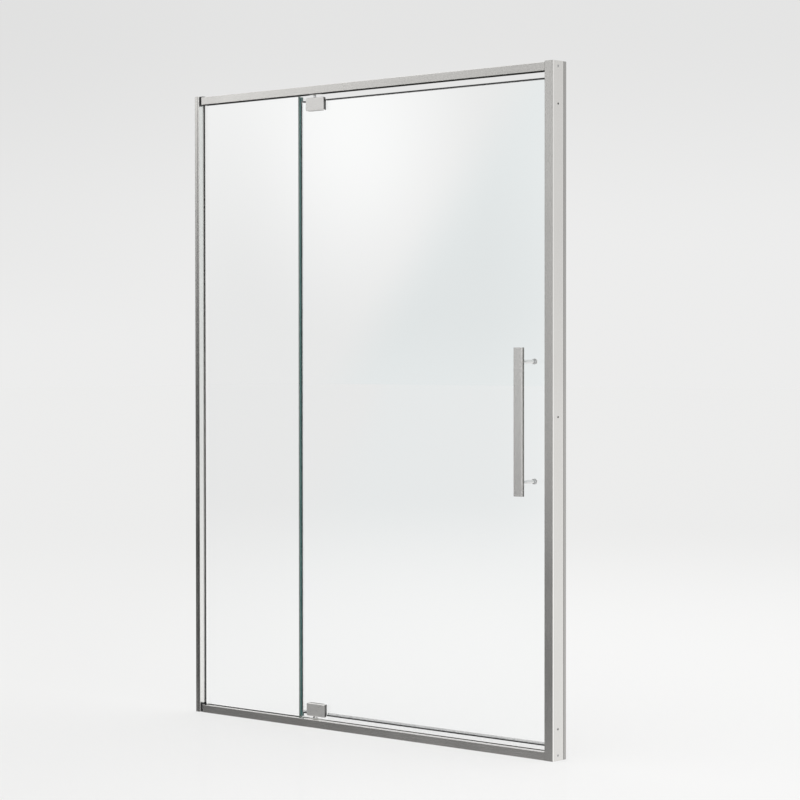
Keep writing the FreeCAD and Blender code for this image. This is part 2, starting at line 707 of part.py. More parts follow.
def door_glass_panel():
    panel = soften_glass(box(
        door_left_x, door_right_x, glass_front_y, glass_back_y, door_bottom_z, door_top_z,
    ))
    for z in (door_top_z - CLAMP_SCREW_DEPTH, door_bottom_z + CLAMP_SCREW_DEPTH):
        for x in clamp_screw_places():
            start = Vector(x, glass_front_y, z)
            panel = panel.cut(rod(start, ALONG_Y, CLAMP_GLASS_HOLE_RADIUS, GLASS_THICKNESS))
    for z in handle_heights():
        start = Vector(handle_x, glass_front_y, z)
        panel = panel.cut(rod(start, ALONG_Y, HANDLE_HOLE_RADIUS, GLASS_THICKNESS))
    return panel


def seal_spans():
    """The two stretches of a level door edge, left and right of the hinge clamp."""
    return [
        (door_left_x + HINGE_SEAL_COVER + SEAL_END_GAP, plate_left_x - SEAL_END_GAP),
        (plate_right_x + SEAL_END_GAP, door_right_x - STRIKE_SEAL_COVER - SEAL_END_GAP),
    ]


def edge_channel(x0, x1, edge_z, outward, wall, base, cover):
    """U-shaped seal pushed over a level glass edge."""
    whole = box(
        x0, x1, glass_front_y - wall, glass_back_y + wall,
        edge_z + outward * base, edge_z - outward * cover,
    )
    slot = box(x0, x1, glass_front_y, glass_back_y, edge_z, edge_z - outward * cover)
    return whole.cut(slot)


def door_top_seal():
    return [
        edge_channel(x0, x1, door_top_z, 1, TOP_SEAL_WALL, TOP_SEAL_WALL, TOP_SEAL_COVER)
        for x0, x1 in seal_spans()
    ]


def door_sweep_carrier():
    return [
        edge_channel(x0, x1, door_bottom_z, -1, SEAL_WALL, SWEEP_BASE, SWEEP_COVER)
        for x0, x1 in seal_spans()
    ]


def door_sweep_fin():
    """Clear blade that hangs from the carrier to just above the sill."""
    half = SWEEP_FIN_THICKNESS / 2
    return [
        box(
            x0, x1, glass_y - half, glass_y + half,
            SILL_HEIGHT + SWEEP_SILL_GAP, door_bottom_z - SWEEP_BASE,
        )
        for x0, x1 in seal_spans()
    ]


def door_strike_seal():
    """Seal on the door's strike edge, hollow for its own magnet strip."""
    face_x = door_right_x + STRIKE_SEAL_BASE
    whole = box(
        door_right_x - STRIKE_SEAL_COVER, face_x,
        glass_front_y - SEAL_WALL, glass_back_y + SEAL_WALL, door_bottom_z, door_top_z,
    )
    slot = box(
        door_right_x - STRIKE_SEAL_COVER, door_right_x,
        glass_front_y, glass_back_y, door_bottom_z, door_top_z,
    )
    return whole.cut(slot).cut(door_magnet_strip())


def door_magnet_strip():
    face_x = door_right_x + STRIKE_SEAL_BASE - SEAL_WALL / 2
    half = DOOR_MAGNET_WIDTH / 2
    return box(
        face_x - DOOR_MAGNET_THICKNESS, face_x,
        glass_y - half, glass_y + half, door_bottom_z, door_top_z,
    )


def hinge_side_seal():
    """Seal on the door's hinge-side edge, with a fin that closes the gap to the fixed glass."""
    base_x = door_left_x - SEAL_WALL
    lower_z = door_bottom_z - HINGE_SEAL_OVERRUN
    upper_z = door_top_z + HINGE_SEAL_OVERRUN
    whole = box(
        base_x, door_left_x + HINGE_SEAL_COVER,
        glass_front_y - SEAL_WALL, glass_back_y + SEAL_WALL, lower_z, upper_z,
    )
    slot = box(
        door_left_x, door_left_x + HINGE_SEAL_COVER,
        glass_front_y, glass_back_y, lower_z, upper_z,
    )
    half = HINGE_SEAL_FIN / 2
    fin = box(
        fixed_right_x + HINGE_SEAL_CLEARANCE, base_x,
        glass_y - half, glass_y + half, lower_z, upper_z,
    )
    return fuse_all([whole.cut(slot), fin])


# ------------------------------------------------------------------ handle
bar_back_y = glass_front_y - HANDLE_STANDOFF
bar_front_y = bar_back_y - HANDLE_THICKNESS
post_end_y = glass_front_y - HANDLE_WASHER_THICKNESS


def handle_bar():
    """Flat upright bar with soft front edges."""
    z0 = HANDLE_CENTRE_HEIGHT - HANDLE_LENGTH / 2
    half = HANDLE_WIDTH / 2
    corners = [
        (Vector(handle_x - half, bar_front_y, z0), HANDLE_FRONT_ROUND),
        (Vector(handle_x + half, bar_front_y, z0), HANDLE_FRONT_ROUND),
        (Vector(handle_x + half, bar_back_y, z0), HANDLE_BACK_ROUND),
        (Vector(handle_x - half, bar_back_y, z0), HANDLE_BACK_ROUND),
    ]
    return prism(corners, ALONG_Z * HANDLE_LENGTH)


def handle_posts():
    """Round standoffs, tapped from the glass end for the handle bolts."""
    posts = []
    for z in handle_heights():
        post = rod(Vector(handle_x, bar_back_y, z), ALONG_Y, POST_RADIUS, post_end_y - bar_back_y)
        thread = rod(
            Vector(handle_x, post_end_y, z), ALONG_Y * -1,
            HANDLE_BOLT_RADIUS + SCREW_CLEARANCE, POST_THREAD_DEPTH,
        )
        posts.append(post.cut(thread))
    return posts


def ring(centre, outer_radius, inner_radius, thickness):
    whole = rod(centre, ALONG_Y, outer_radius, thickness)
    return whole.cut(rod(centre, ALONG_Y, inner_radius, thickness))


def handle_washers():
    """Clear washers on both faces of the glass."""
    washers = []
    for z in handle_heights():
        for y in (post_end_y, glass_back_y):
            washers.append(ring(
                Vector(handle_x, y, z), HANDLE_WASHER_RADIUS,
                HANDLE_BOLT_RADIUS + SCREW_CLEARANCE, HANDLE_WASHER_THICKNESS,
            ))
    return washers


def handle_sleeves():
    """Clear sleeves that keep the bolts off the glass."""
    return [
        ring(
            Vector(handle_x, glass_front_y, z), HANDLE_HOLE_RADIUS,
            HANDLE_BOLT_RADIUS + SCREW_CLEARANCE, GLASS_THICKNESS,
        )
        for z in handle_heights()
    ]


def handle_cap_bolts():
    """Bolts from inside the shower, each with a low round cap for a head."""
    seat_y = glass_back_y + HANDLE_WASHER_THICKNESS
    tip_y = post_end_y - POST_THREAD_DEPTH
    bolts = []
    for z in handle_heights():
        cap = rod(Vector(handle_x, seat_y, z), ALONG_Y, HANDLE_CAP_RADIUS, HANDLE_CAP_HEIGHT)
        rim = [e for e in cap.Edges if e.CenterOfMass.y > seat_y + HANDLE_CAP_HEIGHT - 0.001]
        cap = cap.makeFillet(HANDLE_CAP_ROUND, rim)
        shank = rod(Vector(handle_x, tip_y, z), ALONG_Y, HANDLE_BOLT_RADIUS, seat_y - tip_y)
        bolts.append(fuse_all([cap, shank]))
    return bolts


# ------------------------------------------------------------------ frame nodes
save("header_rail", rail(header_top_z, -1, HEADER_HEIGHT))
save("sill_rail", rail(0, 1, SILL_HEIGHT))
save("left_wall_jamb", left_wall_jamb())
save("right_wall_channel", right_wall_channel())
save("corner_block_top_left", left_corner_block(
    FRAME_HEIGHT, header_top_z, -1, HEADER_HEIGHT, fixed_top_z,
))
save("corner_block_bottom_left", left_corner_block(0, 0, 1, SILL_HEIGHT, fixed_bottom_z))
save("corner_block_top_right", right_corner_block(
    FRAME_HEIGHT, header_top_z, -1, HEADER_HEIGHT,
))
save("corner_block_bottom_right", right_corner_block(0, 0, 1, SILL_HEIGHT))
save("corner_screws", corner_screws())
save("fixed_glass_panel", fixed_glass_panel())
save("glazing_gasket_top", level_gasket(fixed_top_z, 1, header_bottom_z))
save("glazing_gasket_bottom", level_gasket(fixed_bottom_z, -1, SILL_HEIGHT))
save("glazing_gasket_left", side_gasket())
save("setting_blocks", setting_blocks())
save("strike_insert", strike_insert())
save("strike_magnet_strip", strike_magnet_strip())
save("stop_gasket", stop_gasket())
save("top_pivot_block", pivot_block(header_bottom_z, 1, GROOVE_DEPTH))
save("top_pivot_block_screws", pivot_block_screws(header_bottom_z, 1, GROOVE_DEPTH))
save("bottom_pivot_block", pivot_block(bottom_block_face_z, -1, bottom_block_height))
save("bottom_pivot_block_screws", pivot_block_screws(
    bottom_block_face_z, -1, bottom_block_height,
))
save("thrust_washer", thrust_washer())

# ------------------------------------------------------------------ door nodes
save("door_glass_panel", door_glass_panel())
for name, edge_z, outward in (("top", door_top_z, 1), ("bottom", door_bottom_z, -1)):
    save(name + "_hinge_front_plate", hinge_front_plate(edge_z, outward))
    save(name + "_hinge_back_plate", hinge_back_plate(edge_z, outward))
    save(name + "_hinge_gaskets", hinge_gaskets(edge_z, outward))
    save(name + "_hinge_screws", hinge_screws(edge_z, outward))
save("top_pivot_pin", top_pivot_pin())
save("bottom_pivot_pin", bottom_pivot_pin())
save("door_top_seal", door_top_seal())
save("door_sweep_carrier", door_sweep_carrier())
save("door_sweep_fin", door_sweep_fin())
save("door_strike_seal", door_strike_seal())
save("door_magnet_strip", door_magnet_strip())
save("hinge_side_seal", hinge_side_seal())
save("handle_bar", handle_bar())
save("handle_posts", handle_posts())
save("handle_washers", handle_washers())
save("handle_sleeves", handle_sleeves())
save("handle_cap_bolts", handle_cap_bolts())
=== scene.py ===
import math

import bmesh
import bpy
from mathutils import Matrix, Vector


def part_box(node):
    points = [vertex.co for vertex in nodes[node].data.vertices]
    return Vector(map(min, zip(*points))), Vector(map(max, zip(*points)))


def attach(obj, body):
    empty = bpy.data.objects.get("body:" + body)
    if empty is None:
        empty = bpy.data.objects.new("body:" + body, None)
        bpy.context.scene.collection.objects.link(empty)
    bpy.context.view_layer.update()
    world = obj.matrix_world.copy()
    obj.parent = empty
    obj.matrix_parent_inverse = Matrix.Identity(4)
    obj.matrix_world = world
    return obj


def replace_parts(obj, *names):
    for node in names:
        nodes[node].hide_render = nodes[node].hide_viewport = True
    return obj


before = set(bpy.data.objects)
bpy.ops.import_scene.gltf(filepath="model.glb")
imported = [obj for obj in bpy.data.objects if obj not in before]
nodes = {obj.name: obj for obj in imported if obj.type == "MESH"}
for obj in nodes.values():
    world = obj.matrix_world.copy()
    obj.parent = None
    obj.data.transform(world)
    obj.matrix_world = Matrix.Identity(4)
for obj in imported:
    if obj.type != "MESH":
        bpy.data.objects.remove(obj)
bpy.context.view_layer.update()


# Wall jambs: extruded aluminium in brushed nickel, grained along their length. The left
# one holds the fixed glass, with a painted shadow for the groove up its front and a
# painted highlight on its inner face. The right one is a deep channel whose flat web
# goes against the wall, with a painted highlight on its front edge and a thin leg behind
# it that is painted darker, as shade.
class Wire:
    """A socket of a node tree. Arithmetic on it adds the Math nodes."""

    def __init__(self, tree, socket=None):
        self.tree = tree
        self.socket = socket

    def node(self, kind, settings, inputs, output=0):
        """Adds a node: its settings first, then a value or a wire on each named socket."""
        made = self.tree.nodes.new(kind)
        for name, value in settings.items():
            setattr(made, name, value)
        for name, value in inputs.items():
            if isinstance(value, Wire):
                self.tree.links.new(value.socket, made.inputs[name])
            else:
                made.inputs[name].default_value = value
        return Wire(self.tree, made.outputs[output] if made.outputs else None)

    def maths(self, operation, first, second):
        return self.node("ShaderNodeMath", {"operation": operation}, {0: first, 1: second})

    def __add__(self, other):
        return self.maths("ADD", self, other)

    def __radd__(self, other):
        return self.maths("ADD", other, self)

    def __sub__(self, other):
        return self.maths("SUBTRACT", self, other)

    def __rsub__(self, other):
        return self.maths("SUBTRACT", other, self)

    def __mul__(self, other):
        return self.maths("MULTIPLY", self, other)

    def __rmul__(self, other):
        return self.maths("MULTIPLY", other, self)

    def __gt__(self, other):
        return self.maths("GREATER_THAN", self, other)

    def __lt__(self, other):
        return self.maths("LESS_THAN", self, other)


def new_finish(name):
    """An empty material and the wire that its nodes are added from."""
    material = bpy.data.materials.new(name)
    material.use_nodes = True
    material.node_tree.nodes.clear()
    return material, Wire(material.node_tree)


def show(wire, shader):
    """Sends a shader to the material's surface."""
    wire.node("ShaderNodeOutputMaterial", {}, {"Surface": shader})


def principled(wire, inputs):
    return wire.node("ShaderNodeBsdfPrincipled", {}, inputs)


def mixed(wire, factor, first, second):
    """A colour between two others."""
    settings = {"data_type": "RGBA", "clamp_factor": True}
    return wire.node("ShaderNodeMix", settings, {0: factor, 6: first, 7: second}, 2)


def object_place(wire):
    return wire.node("ShaderNodeTexCoord", {}, {}, "Object")


def along(wire, vector, axis):
    """One number of a place or a direction: 0, 1 or 2 for X, Y or Z."""
    return wire.node("ShaderNodeSeparateXYZ", {}, {0: vector}, axis)


def facing(wire, axis):
    """How far the surface faces along one of the piece's own axes, from -1 to 1."""
    return along(wire, wire.node("ShaderNodeTexCoord", {}, {}, "Normal"), axis)


def noise(wire, place, size, detail=2.0):
    """Grey noise whose lumps are about `size` metres, a number or one for each direction."""
    spread = size if isinstance(size, tuple) else (size, size, size)
    scale = tuple(1.0 / s for s in spread)
    at = wire.node("ShaderNodeMapping", {}, {"Vector": place, "Scale": scale})
    return wire.node("ShaderNodeTexNoise", {}, {"Vector": at, "Scale": 1.0, "Detail": detail})


def relief(wire, height, strength, depth):
    """The normal of a surface with a fine relief, `depth` metres deep."""
    return wire.node("ShaderNodeBump", {}, {
        "Strength": strength, "Distance": depth, "Height": height,
    })


scratch_depth = 0.00004
polish_patch = 0.16
# Dark matt tones that paint shade onto metal.
painted_shade_dark = (0.03, 0.029, 0.028, 1.0)
painted_shade_light = (0.05, 0.049, 0.047, 1.0)


def brushed_nickel(name, grain_size, light, dark, roughness, places=(), painted_shade_mask=None):
    """Satin metal: fine lines along the grain, and a faint unevenness of the polish.
    `places` are pairs of a mask's maker and the tone painted there as shade and highlight.
    The last argument makes the mask of metal painted dark and matt, as shade."""
    material, wire = new_finish(name)
    place = object_place(wire)
    grain = noise(wire, place, grain_size, 3.0)
    polish = noise(wire, place, polish_patch)
    shade = mixed(wire, grain * 0.7 + polish * 0.3, dark, light)
    for mask, tone in places:
        shade = mixed(wire, mask(wire, place), shade, tone)
    surface = principled(wire, {
        "Base Color": shade, "Metallic": 1.0,
        "Roughness": roughness + (grain - 0.5) * 0.14 + (polish - 0.5) * 0.08,
        "Normal": relief(wire, grain, 0.25, scratch_depth),
    })
    if painted_shade_mask:
        painted_shade_metal = principled(wire, {
            "Base Color": mixed(wire, polish, painted_shade_dark, painted_shade_light),
            "Roughness": 0.9, "Specular IOR Level": 0.0,
        })
        surface = wire.node("ShaderNodeMixShader", {}, {
            0: painted_shade_mask(wire, place), 1: surface, 2: painted_shade_metal,
        })
    show(wire, surface)
    return material


def coat(piece, material):
    """Puts a material on a piece or a CAD node."""
    piece.data.materials.clear()
    piece.data.materials.append(material)


web_back, step_back = 0.0285, 0.0322
arris_front, arris_back = -0.0139, -0.0105
line_x, line_half_width = -0.6744, 0.000775
inner_face_back = 0.0005


def painted_shade_behind_web(wire, place):
    """Painted shade on the wall side of the channel's leg, and deeper painted shade at the fine
    step where it leaves the web.
    """
    depth = along(wire, place, 1)
    leg = (depth > web_back) * (facing(wire, 0) > 0.5)
    return leg * 0.45 + leg * (depth < step_back) * 0.35


def painted_highlight_arris(wire, place):
    """A painted highlight on the edge between the channel's front and its web."""
    depth = along(wire, place, 1)
    return (depth > arris_front) * (depth < arris_back) * (facing(wire, 0) > 0.5) * 0.6


def painted_groove_shadow(wire, place):
    """A painted shadow standing in for the fine groove that runs up the front of the left jamb.
    """
    offset = along(wire, place, 0) - line_x
    return (facing(wire, 1) < -0.9) * (offset * offset < line_half_width ** 2) * 0.85


def painted_highlight_inner_face(wire, place):
    """A painted highlight on the jamb's face towards the shower's opening."""
    return (facing(wire, 0) > 0.5) * (along(wire, place, 1) < inner_face_back)


grain_across, grain_along = 0.00035, 0.09
upright_grain = (grain_across, grain_across, grain_along)
nickel_light = (0.7, 0.69, 0.67, 1.0)
nickel_dark = (0.58, 0.57, 0.55, 1.0)
# Tones for painted highlights and painted shade on the nickel.
painted_highlight_nickel = (0.9, 0.89, 0.87, 1.0)
painted_shade_nickel = (0.045, 0.044, 0.042, 1.0)
satin = 0.2
coat(nodes["left_wall_jamb"], brushed_nickel(
    "left_jamb_nickel", upright_grain, nickel_light, nickel_dark, satin,
    [(painted_groove_shadow, painted_shade_nickel), (painted_highlight_inner_face, painted_highlight_nickel)],
))
coat(nodes["right_wall_channel"], brushed_nickel(
    "channel_nickel", upright_grain, nickel_light, nickel_dark, satin,
    [(painted_shade_behind_web, painted_shade_nickel), (painted_highlight_arris, painted_highlight_nickel)],
))


# Header and sill rails: the same extrusion and finish as the jambs, grained from side
# to side, their ends pushed over the tongues of the corner blocks. The header's
# underside and groove are painted dark and matt, as shade.
groove_front, groove_back, groove_roof = 0.0008, 0.0132, 1.817


# Painted shade on the header's underside and in its groove.
def painted_shade_header_underside(wire, place):
    depth = along(wire, place, 1)
    groove = (depth > groove_front) * (depth < groove_back)
    groove = groove * (along(wire, place, 2) < groove_roof)
    return wire.maths("MAXIMUM", facing(wire, 2) < -0.5, groove)


level_grain = (grain_along, grain_across, grain_across)
coat(nodes["header_rail"], brushed_nickel(
    "header_nickel", level_grain, nickel_light, nickel_dark, satin, painted_shade_mask=painted_shade_header_underside,
))
coat(nodes["sill_rail"], brushed_nickel(
    "sill_nickel", level_grain, nickel_light, nickel_dark, satin,
))


# Corner blocks: black glass-filled nylon, injection moulded, with a fine matt texture.
# Each is screwed to a jamb and carries the end of a rail on its tongue.
cloud_size = 0.02


def moulded(name, colour, worn_colour, roughness, pebble_size, pebble_depth=0.00008):
    """Moulded plastic or rubber with a fine pebbled face."""
    material, wire = new_finish(name)
    place = object_place(wire)
    pebbles = noise(wire, place, pebble_size, 3.0)
    clouds = noise(wire, place, cloud_size)
    show(wire, principled(wire, {
        "Base Color": mixed(wire, clouds, colour, worn_colour),
        "Roughness": roughness + (clouds - 0.5) * 0.15,
        "Normal": relief(wire, pebbles, 0.4, pebble_depth),
    }))
    return material


def soften(node, width):
    """Rounds the sharp edges of a CAD node, whose triangles are joined first."""
    weld = node.modifiers.new("join", "WELD")
    weld.merge_threshold = 0.00001
    bevel = node.modifiers.new("soft_edges", "BEVEL")
    bevel.width = width
    bevel.segments = 2
    bevel.limit_method = "ANGLE"
    bevel.angle_limit = math.radians(50)


black_nylon = moulded(
    "black_nylon", (0.018, 0.018, 0.019, 1.0), (0.03, 0.03, 0.031, 1.0),
    roughness=0.48, pebble_size=0.0005,
)
block_edge = 0.0004
for corner in ("top_left", "bottom_left", "top_right", "bottom_right"):
    block = nodes["corner_block_" + corner]
    coat(block, black_nylon)
    soften(block, block_edge)


# Corner screws: stainless screws with a cross recess. The right pair lies flush in the
# web of the wall channel, countersunk; the left pair sits inside the jamb on pan heads.
join_distance = 0.000002


def finished(name, shape, body, material):
    """Turns a bmesh into a piece that rides on a body. Its faces point outwards and are put
    in the order of their first edges, because a spin leaves them in any order."""
    bmesh.ops.remove_doubles(shape, verts=shape.verts, dist=join_distance)
    bmesh.ops.recalc_face_normals(shape, faces=shape.faces)
    shape.verts.index_update()
    count = len(shape.verts)
    shape.faces.sort(key=lambda face: face.verts[0].index * count + face.verts[1].index)
    mesh = bpy.data.meshes.new(name)
    shape.to_mesh(mesh)
    shape.free()
    piece = bpy.data.objects.new(name, mesh)
    bpy.context.scene.collection.objects.link(piece)
    coat(piece, material)
    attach(piece, body)
    return piece


def turn_to(axis):
    """The turn that takes +Z to an axis."""
    return Vector((0.0, 0.0, 1.0)).rotation_difference(Vector(axis)).to_matrix().to_4x4()


def cross_outline(angle):
    """How wide a cross recess is in a direction, as a share of its full width."""
    return 1.0 if abs(math.cos(2 * angle)) > 0.85 else 0.42


def hex_outline(angle):
    """How wide a hexagon is in a direction, as a share of its corners' width."""
    return math.cos(math.pi / 6) / math.cos((angle % (math.pi / 3)) - math.pi / 6)


def turned(shape, profile, centre, axis, steps=32, recess=(), outline=None):
    """Spins a profile of (radius, height) points round an axis through a centre. The
    points numbered in `recess` take the outline of a driver's recess."""
    points = [shape.verts.new((radius, 0.0, height)) for radius, height in profile]
    edges = [shape.edges.new(pair) for pair in zip(points, points[1:])]
    bmesh.ops.spin(
        shape, geom=points + edges, cent=(0, 0, 0), axis=(0, 0, 1),
        angle=math.tau, steps=steps, use_merge=True,
    )
    spun = [face for face in shape.faces if not face.tag]
    rings = {vertex for face in spun for vertex in face.verts}
    for face in spun:
        face.tag = True
    for number in recess:
        radius, height = profile[number]
        for vertex in rings:
            at = vertex.co
            if abs(at.z - height) < same_place and abs(at.xy.length - radius) < same_place:
                at.xy = at.xy * outline(math.atan2(at.y, at.x))
    bmesh.ops.transform(
        shape, verts=list(rings), space=Matrix.Identity(4),
        matrix=Matrix.Translation(centre) @ turn_to(axis),
    )


def steel(name, patch_size, dark, light, roughness, spread):
    """Bare stainless steel with faint patches in its tone and its polish."""
    material, wire = new_finish(name)
    patches = noise(wire, object_place(wire), patch_size)
    show(wire, principled(wire, {
        "Base Color": mixed(wire, patches, dark, light),
        "Metallic": 1.0, "Roughness": roughness + patches * spread,
    }))
    return material


same_place = 0.0000001
recess_points = (1, 2)
screw_steel = steel(
    "screw_steel", 0.004, (0.4, 0.4, 0.4, 1.0), (0.54, 0.54, 0.535, 1.0), 0.28, 0.2,
)
corner_screw_heights = (0.014, 1.815)
web_face, web_screw_depth = 0.686, 0.007
jamb_wall, jamb_screw_depth = -0.6693, -0.0055
web_screw = [
    (0.0, -0.0014), (0.0012, -0.0013), (0.0019, -0.0001), (0.0037, -0.0001), (0.0038, -0.0003),
    (0.002, -0.0019), (0.002, -0.0145), (0.0006, -0.0158), (0.0, -0.0158),
]
pan_head_screw = [
    (0.0, 0.0012), (0.0012, 0.0013), (0.0019, 0.0023), (0.003, 0.0021), (0.0038, 0.0012),
    (0.0038, 0.0), (0.002, 0.0), (0.002, -0.0143), (0.0006, -0.0158), (0.0, -0.0158),
]
shape = bmesh.new()
for height in corner_screw_heights:
    turned(shape, web_screw, (web_face, web_screw_depth, height), (1, 0, 0),
           recess=recess_points, outline=cross_outline)
    turned(shape, pan_head_screw, (jamb_wall, jamb_screw_depth, height), (-1, 0, 0),
           recess=recess_points, outline=cross_outline)
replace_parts(finished("cross_recess_screws", shape, "frame", screw_steel),
            "corner_screws")


# Fixed glass panel: 8 mm clear tempered glass, its edges ground and polished, so they show
# the green of the glass. It stands on setting blocks in the sill's groove.
glass_tint = (0.984, 0.99, 0.99, 1.0)
glass_ior = 1.52
glass_wave, wave_depth = 0.35, 0.0005
edge_streak = (0.003, 0.003, 0.25)
rim_width = 0.004
hinge_strip = -0.25


def clear_glass(name, node, edge_dark, edge_light, hinge_edge=None):
    """Clear float glass on its two faces and in its holes, and a green polished edge.
    `hinge_edge` is the darker tone of the edge beyond the hinges."""
    material, wire = new_finish(name)
    place = object_place(wire)
    wave = noise(wire, place, glass_wave, 1.0)
    pane = principled(wire, {
        "Base Color": glass_tint, "Roughness": 0.0, "IOR": glass_ior,
        "Transmission Weight": 1.0, "Normal": relief(wire, wave, 0.1, wave_depth),
    })
    streaks = noise(wire, place, edge_streak)
    shade = mixed(wire, streaks, edge_dark, edge_light)
    if hinge_edge:
        shade = mixed(wire, along(wire, place, 0) < hinge_strip, shade, hinge_edge)
    edge = principled(wire, {
        "Base Color": shade, "Roughness": 0.12 + streaks * 0.1, "IOR": glass_ior,
    })
    lowest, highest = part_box(node)

    def near_ends(axis):
        """The strips along both ends of the pane in one direction."""
        half = 0.5 * (highest[axis] - lowest[axis])
        offset = (along(wire, place, axis) - (lowest[axis] + half)) * (1.0 / half)
        return offset * offset > (1.0 - rim_width / half) ** 2

    front = facing(wire, 1)
    rim = (front * front < 0.25) * wire.maths("MAXIMUM", near_ends(0), near_ends(2))
    show(wire, wire.node("ShaderNodeMixShader", {}, {0: rim, 1: pane, 2: edge}))
    return material


coat(nodes["fixed_glass_panel"], clear_glass(
    "fixed_glass", "fixed_glass_panel", (0.34, 0.4, 0.37, 1.0), (0.42, 0.48, 0.45, 1.0),
))


# Glazing gaskets: wedge strips of soft vinyl round the fixed glass. Their lips stand a
# millimetre proud of the grooves. The side one is black in its groove, with grey lips.
black_rubber = moulded(
    "black_rubber", (0.014, 0.014, 0.014, 1.0), (0.026, 0.026, 0.026, 1.0),
    roughness=0.6, pebble_size=0.0003,
)
rubber_edge = 0.0003
for edge in ("top", "bottom"):
    gasket = nodes["glazing_gasket_" + edge]
    coat(gasket, black_rubber)
    soften(gasket, rubber_edge)

lip_start, lip_back = -0.6672, 0.009
groove_black, lip_grey = (0.04, 0.04, 0.04, 1.0), (0.62, 0.62, 0.6, 1.0)
side_vinyl, wire = new_finish("side_gasket_vinyl")
place = object_place(wire)
clouds = noise(wire, place, cloud_size)
lip = along(wire, place, 0) > lip_start
rear_lip = lip * (along(wire, place, 1) > lip_back)
show(wire, principled(wire, {
    "Base Color": mixed(wire, lip, groove_black, lip_grey),
    "Roughness": 0.45 + clouds * 0.15, "Alpha": 1.0 - rear_lip * 0.8,
}))
coat(nodes["glazing_gasket_left"], side_vinyl)
soften(nodes["glazing_gasket_left"], rubber_edge)


# Setting blocks: two hard rubber pads, cut from a strip and laid in the sill's groove. They
# carry the weight of the fixed glass.
coat(nodes["setting_blocks"], black_rubber)
soften(nodes["setting_blocks"], 0.0005)


# Strike insert: an aluminium extrusion, brushed like the channel, that snaps into it and
# closes it. A black magnet strip lies in it, and a soft gasket on its lip takes the door.
coat(nodes["strike_insert"], brushed_nickel(
    "insert_nickel", upright_grain, nickel_light, nickel_dark, satin,
))
coat(nodes["strike_magnet_strip"], moulded(
    "magnet_black", (0.03, 0.03, 0.03, 1.0), (0.05, 0.048, 0.046, 1.0),
    roughness=0.5, pebble_size=0.0002,
))
coat(nodes["stop_gasket"], black_rubber)
for name in ("strike_magnet_strip", "stop_gasket"):
    soften(nodes[name], rubber_edge)


# Pivot blocks: white acetal bearings that fill the grooves of header and sill over the
# pivot, each held by two countersunk screws. A washer under the door's collar bears it.
acetal = moulded(
    "acetal", (0.78, 0.77, 0.74, 1.0), (0.72, 0.71, 0.68, 1.0),
    roughness=0.38, pebble_size=0.0006, pebble_depth=0.00003,
)
for name in ("top_pivot_block", "bottom_pivot_block"):
    coat(nodes[name], acetal)
    soften(nodes[name], block_edge)

pivot_x, pivot_y, washer_top = -0.205, 0.007, 0.0245
fine_steps = 48
shape = bmesh.new()
turned(shape, [
    (0.00405, -0.001), (0.00405, -0.0003), (0.0044, 0.0), (0.0077, 0.0), (0.008, -0.0002),
    (0.008, -0.0008), (0.0077, -0.001), (0.00405, -0.001),
], (pivot_x, pivot_y, washer_top), (0, 0, 1), fine_steps)
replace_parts(finished("bearing_washer", shape, "frame", acetal),
            "thrust_washer")

block_screw_places = (-0.221, -0.189)
tip_length = 0.0012
for side, face, axis, screw_length in (
    ("top", 1.8035, (0, 0, -1), 0.0164), ("bottom", 0.0235, (0, 0, 1), 0.0174),
):
    shape = bmesh.new()
    for x in block_screw_places:
        turned(shape, [
            (0.0, -0.0014), (0.0011, -0.0013), (0.0017, -0.0001), (0.0033, -0.0001),
            (0.0034, -0.0003), (0.00175, -0.0019), (0.00175, tip_length - screw_length),
            (0.0006, -screw_length), (0.0, -screw_length),
        ], (x, pivot_y, face), axis, recess=recess_points, outline=cross_outline)
    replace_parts(finished(side + "_block_cross_screws", shape, "frame", screw_steel),
                side + "_pivot_block_screws")


# Door glass: 8 mm clear tempered glass with polished edges and holes for the handle and
# the hinge clamps. Everything on the door hangs from it.
coat(nodes["door_glass_panel"], clear_glass(
    "door_glass", "door_glass_panel",
    (0.5, 0.58, 0.55, 1.0), (0.6, 0.68, 0.65, 1.0), (0.1, 0.22, 0.21, 1.0),
))


# Hinge clamps: cast brass plates in satin nickel that grip the glass between soft pads.
# The front plate has a bridge over the glass edge, in which the pivot pin is pressed.
def painted_shade_strike_side(wire, place):
    """Painted shade on the face towards the strike."""
    return (facing(wire, 0) > 0.7) * 0.85


plate_grain = (0.018, 0.0003, 0.0003)
hardware_light = (0.86, 0.85, 0.83, 1.0)
hardware_dark = (0.74, 0.73, 0.71, 1.0)
plate_nickel = brushed_nickel(
    "plate_nickel", plate_grain, hardware_light, hardware_dark, 0.3,
    [(painted_shade_strike_side, painted_shade_nickel)],
)
clamp_screw_places = (-0.2155, -0.1875)
back_plate_face = 0.0185
for side, clamp_height in (("top", 1.7715), ("bottom", 0.0535)):
    for plate in ("front", "back"):
        coat(nodes[f"{side}_hinge_{plate}_plate"], plate_nickel)
    pads = nodes[side + "_hinge_gaskets"]
    coat(pads, black_rubber)
    soften(pads, rubber_edge)
    shape = bmesh.new()
    for x in clamp_screw_places:
        turned(shape, [
            (0.0, -0.0022), (0.0021, -0.0021), (0.0022, -0.0001), (0.0053, -0.0001),
            (0.0055, -0.0004), (0.003, -0.003), (0.003, -0.0222), (0.0022, -0.023),
            (0.0, -0.023),
        ], (x, back_plate_face, clamp_height), (0, 1, 0),
            recess=recess_points, outline=hex_outline)
    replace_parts(finished(side + "_clamp_hex_screws", shape, "door", screw_steel),
                side + "_hinge_screws")


